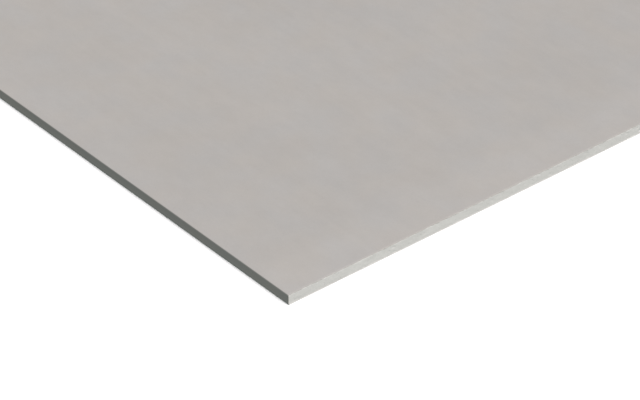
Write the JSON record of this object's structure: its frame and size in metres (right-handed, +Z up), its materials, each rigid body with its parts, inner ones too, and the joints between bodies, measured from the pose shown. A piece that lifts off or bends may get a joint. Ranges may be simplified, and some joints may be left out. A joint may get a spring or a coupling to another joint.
{
  "type": "drywall sheet",
  "caption": "Rectangular sheet of gypsum drywall with a warm grey paper face, square paper-wrapped long edges and square-cut ends, lying flat with its face up.",
  "frame": {"origin": "middle of the back, the side that the sheet lies on, at the lowest height", "axes": "+X along the sheet's length and its paper-wrapped long edges, +Y across its width, +Z up through its thickness from the back to the face"},
  "size_m": [2.4384, 1.2192, 0.0127],
  "materials": {
    "face_paper": "matte"
  },
  "bodies": {
    "root": {"drywall_sheet": "face_paper"}
  },
  "joints": []
}
